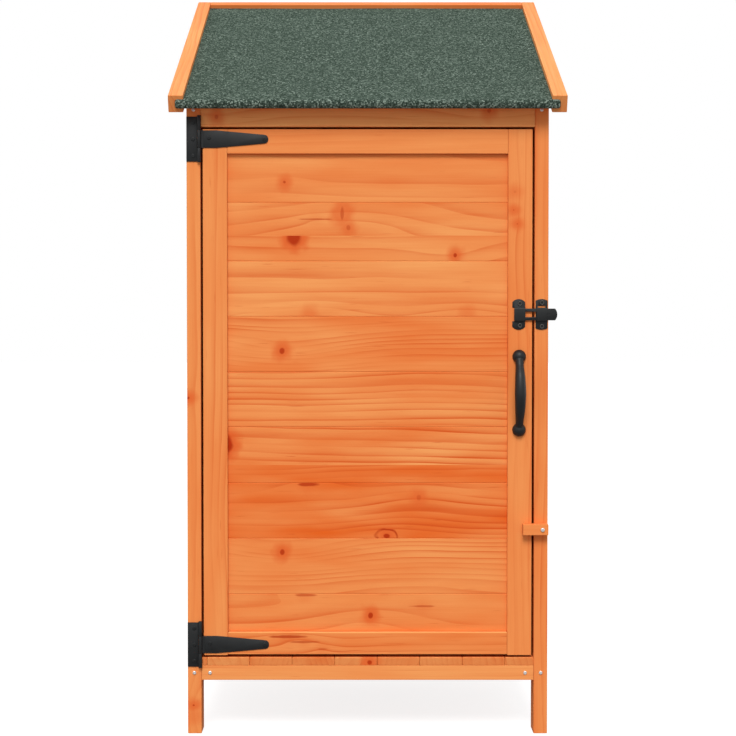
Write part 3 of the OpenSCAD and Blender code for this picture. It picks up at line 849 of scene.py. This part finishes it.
# %% Felt on the roof
FELT_NOSE, FELT_END, FELT_SHEET = 7.8 * MM, 5 * MM, 2.0 * MM
FELT_SUNK, FELT_UNREST, FELT_WAVES = 0.8 * MM, 2.2 * MM, 160 * MM
u0, _, v0, felt_top = flat_span("roof_felt")
deck_u0, deck_u1, *_ = flat_span("roof_deck")
deck_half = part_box("roof_deck")[1][0]
only()
bpy.ops.mesh.primitive_grid_add(x_subdivisions=48, y_subdivisions=44, size=1)
sheet = bpy.context.object
sheet.name = "felt_sheet"
sheet.scale = (2 * deck_half, deck_u1 - deck_u0, 1)
sheet.location = (0, (deck_u0 + deck_u1) / 2, felt_top - FELT_SUNK)
settle(sheet)
unrest = bpy.data.textures.new("felt_unrest", "CLOUDS")
unrest.noise_scale = FELT_WAVES
waves = {"texture": unrest, "texture_coords": "LOCAL", "direction": "Z"}
modify(sheet, "DISPLACE", strength=FELT_UNREST, mid_level=0.5, **waves)
modify(sheet, "SOLIDIFY", thickness=FELT_SHEET, offset=-1)
tilt(sheet)
smooth(sheet)
hand_over(sheet, felt, "shed", "green_mineral_felt", "roof_felt")

roll_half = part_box("roof_felt")[1][0]
roll = block("felt_front_roll", (-roll_half, u0, v0), (roll_half, deck_u0, felt_top))
soften(roll, FELT_NOSE, lambda middle, way: abs(way.x) > STRAIGHT and middle.y < u0 + AT_END, segments=6)
at_ends = lambda middle, way: abs(way.x) < 0.5 and abs(middle.x) > roll_half - AT_END
soften(roll, FELT_END, at_ends, segments=4)
tilt(roll)
smooth(roll)
bends = roll.data.attributes.new("bent", "FLOAT", "FACE")
for face in roll.data.polygons:
    bends.data[face.index].value = 1.0
hand_over(roll, felt, "shed", "green_mineral_felt")

# %% [markdown]
# ## Door
# Two stiles run the full height, with the rails between them. The upward faces of the bottom
# rail's ledge get a paler tone after the timber is grown: a painted highlight where they face the light.

# %% Door frame
timber("door_left_stile", UP, FRONT, RIGHT, body="door")
timber("door_right_stile", UP, FRONT, RIGHT, body="door")
timber("door_top_rail", RIGHT, FRONT, UP, body="door")
rail = timber("door_bottom_rail", RIGHT, FRONT, UP, body="door")
# the upward faces of the ledge get a paler tone, a painted highlight
LEDGE_HIGHLIGHT_TONE, LEDGE_UP = -0.5, 0.3
moods = rail.data.attributes["mood"].data
for face in rail.data.polygons:
    if face.normal.z > LEDGE_UP:
        moods[face.index].vector = (LEDGE_HIGHLIGHT_TONE, *moods[face.index].vector[1:])

# %% [markdown]
# Matched boards fill the door's frame a little way back. Two of them are glued up from two strips,
# and at the glue the grain and the knots stop dead, so the mesh is cut there and each strip grows
# by itself. A strip's tone, grain and knots follow the real door's.

# %% Door boards
DOOR_JOINTS = (0.3141, 0.4392, 0.5643, 0.6900, 0.8140, 0.9382, 1.0619, 1.1931)
DOOR_GLUE = (0.6047, 1.1190)
# from the bottom strip up: tone, strength of line, ring in mm, the pith's place in mm over the
# strip's middle and behind its back, and knots as across, up and radius in mm, darkness, and for
# some how much the distance along the grain counts
DOOR_STRIPS = (
    (0.45, 0.75, 16, 30, 45, ((7, 265, 9, 0.95), (125, 286, 2.6, 0.6, 0.08), (-139, 311, 4, 0.6, 0.14))),
    (0.3, 0.7, 11, -90, 60, ((-192, 408, 9, 0.9),)),
    (0.85, 1.2, 15, 90, 40, ((43, 445, 7.4, 2.0, 0.72), (-136, 561, 6.2, 0.85, 0.2), (115, 531, 9, 0.35))),
    (0.75, 0.9, 12, 120, 40, ()),
    (0.3, 1.2, 18, 130, 40, ((-318, 652, 28, 1.0, 1.3),)),
    (0.28, 0.9, 14, 120, 50, ()),
    (0.4, 0.9, 10, -130, 40, ((-192, 861, 9, 0.9),)),
    (0.05, 0.65, 18, 60, 90, ((-130, 943, 8, 0), (224, 943, 7, 0))),
    (0.35, 0.7, 20, -60, 60, ((-165, 1117, 27.5, 1.0, 1.3), (196, 1075, 7, 0.9))),
    (
        0.25, 0.8, 20, 60, 60,
        ((-57, 1168, 20, 0.5, 4.0), (-43, 1137, 8, 0.45), (-118, 1156, 2.4, 0.6, 0.05)),
    ),
    (0.35, 0.6, 24, 80, 70, ((-186, 1239, 4, 0.7, 1.0),)),
)
low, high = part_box("door_boards")
piece = join("door_boarding", boarding("door_board", low, high, 2, DOOR_JOINTS, RIGHT))
for height in DOOR_GLUE:
    pick(piece, "FACE", lambda middle, way: True)
    bpy.ops.mesh.bisect(plane_co=(0, 0, height), plane_no=UP)
    only(piece)
heights = [low[2], *sorted(DOOR_JOINTS + DOOR_GLUE), high[2]]
for foot, top, (tone, lines, ring, pith_up, pith_behind, knots) in zip(heights, heights[1:], DOOR_STRIPS):
    pith = Vector((0, high[1] + pith_behind * MM, (foot + top) / 2 + pith_up * MM))
    spots = front_knots(knots, low[1])
    mood = (tone, lines, ring * MM)
    grow(piece, RIGHT, FRONT, pith, mood, spots, lambda middle: foot <= middle.z <= top)
hand_over(piece, fir, "door", "stained_fir_boards", "door_boards")

# %% [markdown]
# ## Screws
# A pan head is a short cylinder with its rim rounded over and a cross pressed into it. It is made
# once, lying on the ground and looking up, and copied to every place.

# %% Screw heads
# shares of a head's radius and height: the cross, the dish's rim, and how much the rim is rounded
CROSS_LONG, CROSS_WIDE, CROSS_DEEP = 0.5, 0.13, 0.45
DISH_RIM, PAN_ROUND, DISH_ROUND, AT_RIM = 0.32, 0.62, 0.25, 0.9


def screw_head(name, radius, height, way, dish=0.0):
    """A cross-headed screw at the origin that looks along a direction; a dish sinks its middle."""
    head = rod(name, (0, 0, height / 2), radius, height, 2, sides=28)
    if dish:
        pick(head, "FACE", lambda middle, line: line.z > STRAIGHT)
        bpy.ops.mesh.inset(thickness=radius * DISH_RIM)
        bpy.ops.transform.translate(value=(0, 0, -dish))
        only(head)
    rim = height * (DISH_ROUND if dish else PAN_ROUND)
    on_rim = lambda middle, line: middle.z > height * AT_RIM and middle.xy.length > radius * AT_RIM
    soften(head, rim, on_rim, segments=4)
    for x, y in ((CROSS_WIDE, CROSS_LONG), (CROSS_LONG, CROSS_WIDE)):
        start = (-radius * x, -radius * y, (height - dish) * CROSS_DEEP)
        cut_out(head, block("driver", start, (radius * x, radius * y, height * 2)))
    head.rotation_euler = way.to_track_quat("Z", "Y").to_euler()
    settle(head)
    smooth(head, 30)
    return head


def screws(name, head, places, material, body, slot):
    """Copies a head to several places and joins the copies into one piece."""
    hand_over(join(name, [copy_at(head, place) for place in places]), material, body, slot)


SILL_SCREWS_X, HEADER_SCREWS_X = (-389, -354, 354, 389), (-388, 388)
SILL_SCREWS_Z, HEADER_SCREWS_Z = 137.6, 1399
ZINC_HEAD_R, ZINC_HEAD_H = 4.2 * MM, 2.2 * MM
for name, way, y in (("front", FRONT, y_front), ("rear", BACK, y_rear)):
    head = screw_head(f"{name}_head", ZINC_HEAD_R, ZINC_HEAD_H, way)
    rise = (y - y_front) * math.tan(PITCH)
    places = [(x * MM, y, SILL_SCREWS_Z * MM) for x in SILL_SCREWS_X]
    places += [(x * MM, y, HEADER_SCREWS_Z * MM + rise) for x in HEADER_SCREWS_X]
    screws(f"{name}_zinc_screws", head, places, zinc, "shed", "zinc_screw")
    bpy.data.objects.remove(head)

# %% [markdown]
# ## Tee hinges
# A plate on the post and a tapered strap on the door, each rolled round the pin at the edge. The
# strap is a block whose end face is extruded and drawn narrower, and then rounded at its tip.

# %% Hinges
PRESSED, PRESSED_EASE = 2.2 * MM, 0.7 * MM
STRAP_ROOT, STRAP_TIP, STRAP_ROUND = 38 * MM, 18 * MM, 8.2 * MM
PLATE_IN, CURL_GAP, CURL_EASE, PIN_R, WEB_LAP = 1.5 * MM, 0.5 * MM, 0.5 * MM, 2 * MM, 1 * MM
CAP_H, CAP_ROUND = 1.5 * MM, 0.9 * MM
door_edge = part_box("door_left_stile")[0][0]


def curl(a, b):
    """A rolled knuckle round the pin between two heights."""
    roll = rod("curl", (pin_x, pin_y, (a + b) / 2), barrel_r, b - a, 2)
    soften(roll, CURL_EASE, lambda middle, way: abs(way.z) < 0.5)
    return roll


for place in ("upper", "lower"):
    low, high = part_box(f"{place}_hinge_plate")
    strap_low, strap_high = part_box(f"{place}_hinge_strap")
    pin_low, pin_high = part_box(f"{place}_hinge_pin")
    pin_x, pin_y = ((pin_low[i] + pin_high[i]) / 2 for i in (0, 1))
    barrel_r = (pin_high[0] - pin_low[0]) / 2
    leaf_end = pin_x - barrel_r - CURL_GAP
    foot, top = low[2] + PLATE_IN, high[2] - PLATE_IN
    leaf = block("leaf", (low[0], y_front - PRESSED, foot), (leaf_end, y_front, top))
    soften(leaf, PRESSED_EASE)
    parts = [leaf]
    for a, b in ((low[2], strap_low[2] - CURL_GAP), (strap_high[2] + CURL_GAP, high[2])):
        web_low = (leaf_end - WEB_LAP, y_front - PRESSED, max(a, foot))
        web = block("web", web_low, (pin_x, y_front - HAIR, min(b, top)))
        parts += [curl(a, b), web]
    piece = join(f"{place}_hinge_leaf", parts)
    smooth(piece)
    hand_over(piece, iron, "shed", "black_ironwork", f"{place}_hinge_plate")

    pin_mid = (pin_x, pin_y, (pin_low[2] + pin_high[2]) / 2)
    pin = rod("pin_stem", pin_mid, PIN_R, pin_high[2] - pin_low[2], 2)
    cap = rod("pin_cap", (pin_x, pin_y, pin_high[2] - CAP_H / 2), barrel_r, CAP_H, 2)
    soften(cap, CAP_ROUND, lambda middle, way: middle.z > pin_high[2] - HAIR, segments=3)
    piece = join(f"{place}_hinge_pivot", [pin, cap])
    smooth(piece)
    hand_over(piece, iron, "shed", "black_ironwork", f"{place}_hinge_pin")

    root_x, tall = pin_x + STRAP_ROOT, strap_high[2] - strap_low[2]
    strap = block("strap", (door_edge, y_front - PRESSED, strap_low[2]), (root_x, y_front, strap_high[2]))
    pick(strap, "FACE", lambda middle, way: way.x > STRAIGHT)
    bpy.ops.mesh.extrude_region_move(TRANSFORM_OT_translate={"value": (strap_high[0] - root_x, 0, 0)})
    bpy.ops.transform.resize(value=(1, 1, STRAP_TIP / tall))
    at_tip = lambda middle, way: abs(way.y) > STRAIGHT and middle.x > strap_high[0] - AT_END
    soften(strap, STRAP_ROUND, at_tip, segments=7)
    soften(strap, PRESSED_EASE)
    web_low = (pin_x, y_front - PRESSED - CURL_GAP, strap_low[2])
    web = block("web", web_low, (door_edge + PRESSED, y_front - CURL_GAP, strap_high[2]))
    piece = join(f"{place}_hinge_tee", [strap, curl(strap_low[2], strap_high[2]), web])
    smooth(piece)
    hand_over(piece, iron, "door", "black_ironwork", f"{place}_hinge_strap")

# %% [markdown]
# The hinge screws are black like the hinges: three down each plate, one near the strap's root and
# one at its tip.

# %% Hinge screws
HINGE_HEAD_R, HINGE_HEAD_H = 4.4 * MM, 1.8 * MM
PLATE_SCREWS_X, PLATE_STEPS, STRAP_SCREWS = -389, (-37, 0, 37), ((-354, 3), (-230, 0))
head = screw_head("hinge_head", HINGE_HEAD_R, HINGE_HEAD_H, FRONT)
plates = [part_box(f"{place}_hinge_plate") for place in ("upper", "lower")]
heights = [(low[2] + high[2]) / 2 for low, high in plates]
on_metal = y_front - PRESSED + HAIR
places = [(PLATE_SCREWS_X * MM, on_metal, z + step * MM) for z in heights for step in PLATE_STEPS]
screws("hinge_plate_screws", head, places, iron, "shed", "black_ironwork")
places = [(x * MM, on_metal, z + step * MM) for z in heights for x, step in STRAP_SCREWS]
screws("hinge_strap_screws", head, places, iron, "door", "black_ironwork")
bpy.data.objects.remove(head)

# %% [markdown]
# ## Slide bolt
# Two pressed plates with arched ends, each with a raised bridge, and a flat slotted bar that runs
# through both. An arched end is a slice of a disc: a cylinder is pulled apart at its waist and
# sawn off at the sides. A bridge is a box with its ends and back deleted, thickened inwards.

# %% Bolt plates
BOLT_PLATE, BRIDGE_WALL, BRIDGE_ROUND = 1.8 * MM, 1.4 * MM, 2.2 * MM
KEEPER_ARCH, GUIDE_ARCH, KEEPER_NOTCH, GUIDE_INSET = 18 * MM, 27 * MM, 4 * MM, 2 * MM
SLIT_W, SLIT_H, BRIDGE_ROOM = 17 * MM, 3.5 * MM, 2.2 * MM
STAMPED = {"width": 0.4 * MM, "segments": 2, "limit_method": "ANGLE", "angle_limit": math.radians(50)}
bar_low, bar_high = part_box("sliding_bolt")
bolt_z = (bar_low[2] + bar_high[2]) / 2
bridge_half = (bar_high[2] - bar_low[2]) / 2 + BRIDGE_ROOM


def drawn_disc(name, middle, radius, thick, way, reach):
    """A disc that looks along Y, pulled apart both ways from its middle by a reach."""
    disc = rod(name, middle, radius, thick, 1, sides=96)
    centre = Vector(middle)
    for sign in (-1, 1):
        pick(disc, "VERT", lambda point: (point - centre).dot(way) * sign > HAIR)
        bpy.ops.transform.translate(value=way * sign * reach)
        only(disc)
    return disc


def bolt_plate(node, body, arch, bridge_in, notch=0.0, slit=False):
    """A plate of the bolt with its bridge, in the place of a CAD node."""
    low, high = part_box(node)
    middle = ((low[0] + high[0]) / 2, y_front - BOLT_PLATE / 2, bolt_z)
    plate = drawn_disc("plate", middle, arch, BOLT_PLATE, UP, (high[2] - low[2]) / 2 - arch)
    saw(plate, (high[0], 0, 0), RIGHT)
    saw(plate, (low[0], 0, 0), LEFT)
    behind, before = y_front - 5 * BOLT_PLATE, y_front + 5 * BOLT_PLATE
    if notch:
        start = (low[0] - notch, behind, bolt_z - bridge_half)
        cut_out(plate, block("notch", start, (low[0] + notch, before, bolt_z + bridge_half)))
    if slit:
        start = (middle[0] - SLIT_W / 2, behind, bolt_z + bridge_half)
        end = (middle[0] + SLIT_W / 2, before, bolt_z + bridge_half + SLIT_H)
        cut_out(plate, block("slit", start, end))
    modify(plate, "BEVEL", **STAMPED)
    start = (low[0] + bridge_in[0], low[1], bolt_z - bridge_half)
    end = (high[0] - bridge_in[1], y_front - BOLT_PLATE + HAIR, bolt_z + bridge_half)
    bridge = block("bridge", start, end)
    outer_edge = lambda middle, way: abs(way.x) > STRAIGHT and middle.y < low[1] + AT_END
    soften(bridge, BRIDGE_ROUND, outer_edge, segments=3)
    pick(bridge, "FACE", lambda middle, way: abs(way.x) > STRAIGHT or way.y > STRAIGHT)
    bpy.ops.mesh.delete(type="FACE")
    only(bridge)
    modify(bridge, "SOLIDIFY", thickness=BRIDGE_WALL, offset=-1)
    piece = join(node + "_pressing", [plate, bridge])
    smooth(piece)
    hand_over(piece, iron, body, "black_ironwork", node)


bolt_plate("bolt_guide", "shed", GUIDE_ARCH, (GUIDE_INSET, GUIDE_INSET), slit=True)
bolt_plate("bolt_keeper", "door", KEEPER_ARCH, (KEEPER_NOTCH, 0), notch=KEEPER_NOTCH)

# %% [markdown]
# The bar has a shallow round end, so it too is a slice of a disc, and a long slot. The screws of
# the plates are dished and black, and a fine lighter ring laid on the rim of each is a painted
# highlight.

# %% Bolt bar and screws
BAR_END, SLOT_START, SLOT_END, SLOT_HALF = 20 * MM, 14 * MM, 50 * MM, 6 * MM
SLOT_ROUND, THROUGH = SLOT_HALF * 0.98, 5 * MM
end_x, bar_y = bar_high[0] - BAR_END, (bar_low[1] + bar_high[1]) / 2
bar = rod("sliding_bolt_bar", (end_x, bar_y, bolt_z), BAR_END, bar_high[1] - bar_low[1], 1, sides=96)
pick(bar, "VERT", lambda point: point.x < end_x - HAIR)
bpy.ops.transform.translate(value=(bar_low[0] - end_x, 0, 0))
saw(bar, bar_low, LEFT)
saw(bar, bar_low, -UP)
saw(bar, bar_high, UP)
start = (bar_low[0] + SLOT_START, bar_low[1] - THROUGH, bolt_z - SLOT_HALF)
cutter = block("cutter", start, (bar_low[0] + SLOT_END, bar_high[1] + THROUGH, bolt_z + SLOT_HALF))
soften(cutter, SLOT_ROUND, lambda middle, way: abs(way.y) > STRAIGHT, segments=6)
cut_out(bar, cutter)
modify(bar, "BEVEL", **STAMPED)
smooth(bar)
hand_over(bar, iron, "bolt", "black_ironwork", "sliding_bolt")

BOLT_HEAD, BOLT_HEAD_R, BOLT_DISH = 1.6 * MM, 5.2 * MM, 0.8 * MM
HIGHLIGHT_RING_R, HIGHLIGHT_RING_WIRE = 3.9 * MM, 0.75 * MM
# across, and up and down from the bolt's middle, in mm
GUIDE_SCREWS, KEEPER_SCREWS = (389.6, 26.5), (340.4, 24.5)
head = screw_head("bolt_head", BOLT_HEAD_R, BOLT_HEAD, FRONT, dish=BOLT_DISH)
# a ring of lighter steel laid on the rim of each head, a painted highlight
only()
bpy.ops.mesh.primitive_torus_add(
    major_radius=HIGHLIGHT_RING_R, minor_radius=HIGHLIGHT_RING_WIRE, major_segments=28, minor_segments=8,
    location=(0, -BOLT_HEAD + HIGHLIGHT_RING_WIRE / 2, 0), rotation=(math.pi / 2, 0, 0),
)
rim = bpy.context.object
settle(rim)
smooth(rim, 60)
for name, body, (x, step) in (("guide", "shed", GUIDE_SCREWS), ("keeper", "door", KEEPER_SCREWS)):
    places = [(x * MM, y_front - BOLT_PLATE + HAIR, bolt_z + s * step * MM) for s in (-1, 1)]
    screws(f"bolt_{name}_screws", head, places, iron, body, "black_ironwork")
    screws(f"bolt_{name}_screw_rims", rim, places, rim_highlight, body, "black_ironwork")
bpy.data.objects.remove(head)
bpy.data.objects.remove(rim)

# %% [markdown]
# ## Pull handle
# A forged bow between two round ends: thin at the necks and full in the hand. A curve with a radius
# at each point draws the bow, two spheres are the ends, and a fine remesh melts them together.

# %% Handle
low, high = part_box("pull_handle")
GRIP_END, GRIP_SUNK, GRIP_VOXEL = 15.3 * MM, 1 * MM, 0.9 * MM
grip_x, grip_z = (low[0] + high[0]) / 2, (low[2] + high[2]) / 2
grip_half = (high[2] - low[2]) / 2 - GRIP_END
# up from the middle, out from the door and the radius there, all in mm
BOW = (
    (-81, 3, 8.6),
    (-62, 14, 9),
    (-36, 28, 11.4),
    (0, 34.5, 12.8),
    (34, 29, 11.6),
    (61, 15, 9.2),
    (72, 9, 9.6),
    (81, 3, 10.5),
)
only()
bpy.ops.curve.primitive_bezier_curve_add(location=(0, 0, 0))
bow = bpy.context.object
bow.data.dimensions = "3D"
spline = bow.data.splines[0]
spline.bezier_points.add(len(BOW) - 2)
for point, (rise, depth, radius) in zip(spline.bezier_points, BOW):
    point.co = (grip_x, y_front - depth * MM, grip_z + rise * MM)
    point.handle_left_type = point.handle_right_type = "AUTO"
    point.radius = radius * MM
bow.data.bevel_depth = 1.0
bow.data.bevel_resolution = 6
bow.data.resolution_u = 10
bow.data.use_fill_caps = True
only(bow)
bpy.ops.object.convert(target="MESH")
parts = [bpy.context.object]
for sign in (-1, 1):
    only()
    spot = (grip_x, y_front - GRIP_SUNK, grip_z + sign * grip_half)
    bpy.ops.mesh.primitive_uv_sphere_add(segments=40, ring_count=24, radius=GRIP_END, location=spot)
    settle(bpy.context.object)
    parts.append(bpy.context.object)
handle = join("pull_handle_bow", parts)
modify(handle, "REMESH", mode="VOXEL", voxel_size=GRIP_VOXEL)
modify(handle, "SMOOTH", factor=0.5, iterations=8)
saw(handle, (0, y_front, 0), BACK)
smooth(handle, 60)
hand_over(handle, iron, "door", "black_ironwork", "pull_handle")

# %% [markdown]
# ## Turn button
# A scrap of the same batten with a screw near one end. It lies across the gap and keeps the door
# shut, and a quarter turn lets it go.

# %% Button
low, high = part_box("turn_button")
screw_low, screw_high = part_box("turn_button_screw")
BUTTON_EASE, BUTTON_TONE, BUTTON_HOLE, DRILL_LONG = 1.8 * MM, (0.3, 0.45), 2.58 * MM, 200 * MM
BUTTON_HEAD_R, BUTTON_HEAD, BUTTON_STEM, STEM_LONG = 4.6 * MM, 2.6 * MM, 2.5 * MM, 24 * MM
button = block("turn_button_block", low, high)
soften(button, BUTTON_EASE)
hole_x, hole_z = ((screw_low[i] + screw_high[i]) / 2 for i in (0, 2))
cut_out(button, rod("drill", (hole_x, low[1], hole_z), BUTTON_HOLE, DRILL_LONG, 1))
planed(button)
chance_growth(button, RIGHT, FRONT, UP, tone=BUTTON_TONE)
hand_over(button, fir, "button", "stained_fir", "turn_button")

head = screw_head("button_head", BUTTON_HEAD_R, BUTTON_HEAD, FRONT)
stem = rod("stem", (0, STEM_LONG / 2, 0), BUTTON_STEM, STEM_LONG, 1)
piece = join("button_screw", [stem, head])
piece.location = (hole_x, screw_low[1] + BUTTON_HEAD, hole_z)
settle(piece)
saw(piece, (0, y_front, 0), BACK)
smooth(piece, 30)
hand_over(piece, zinc, "shed", "zinc_screw", "turn_button_screw")

# %% [markdown]
# ## Floor
# A plain grey floor takes the soft shadow under the shed. For the camera it also glows, so that it
# runs into the white behind with no line between them.

# %% Studio floor
FLOOR_GLOW, FLOOR_PAINT, FLOOR_SIZE = 0.82, "#9C9C9C", 40
paper = bpy.data.materials.new("studio_floor")
t = empty_tree(paper)
path = add(t, "ShaderNodeLightPath", out=None).outputs
paint = add(t, "ShaderNodeBsdfDiffuse", {"Color": hex_color(FLOOR_PAINT)})
glow = add(t, MATH, {0: path["Is Camera Ray"], 1: FLOOR_GLOW}, "MULTIPLY")
glow = add(t, "ShaderNodeEmission", {"Color": hex_color("#FFFFFF"), "Strength": glow})
lit = add(t, "ShaderNodeAddShader", {0: paint, 1: glow})
add(t, "ShaderNodeOutputMaterial", {"Surface": lit}, out=None)
only()
bpy.ops.mesh.primitive_plane_add(size=FLOOR_SIZE, location=(0, 0, 0))
studio = bpy.context.object
studio.name = "studio_floor"
studio.data.materials.append(paper)
print("floor staged")
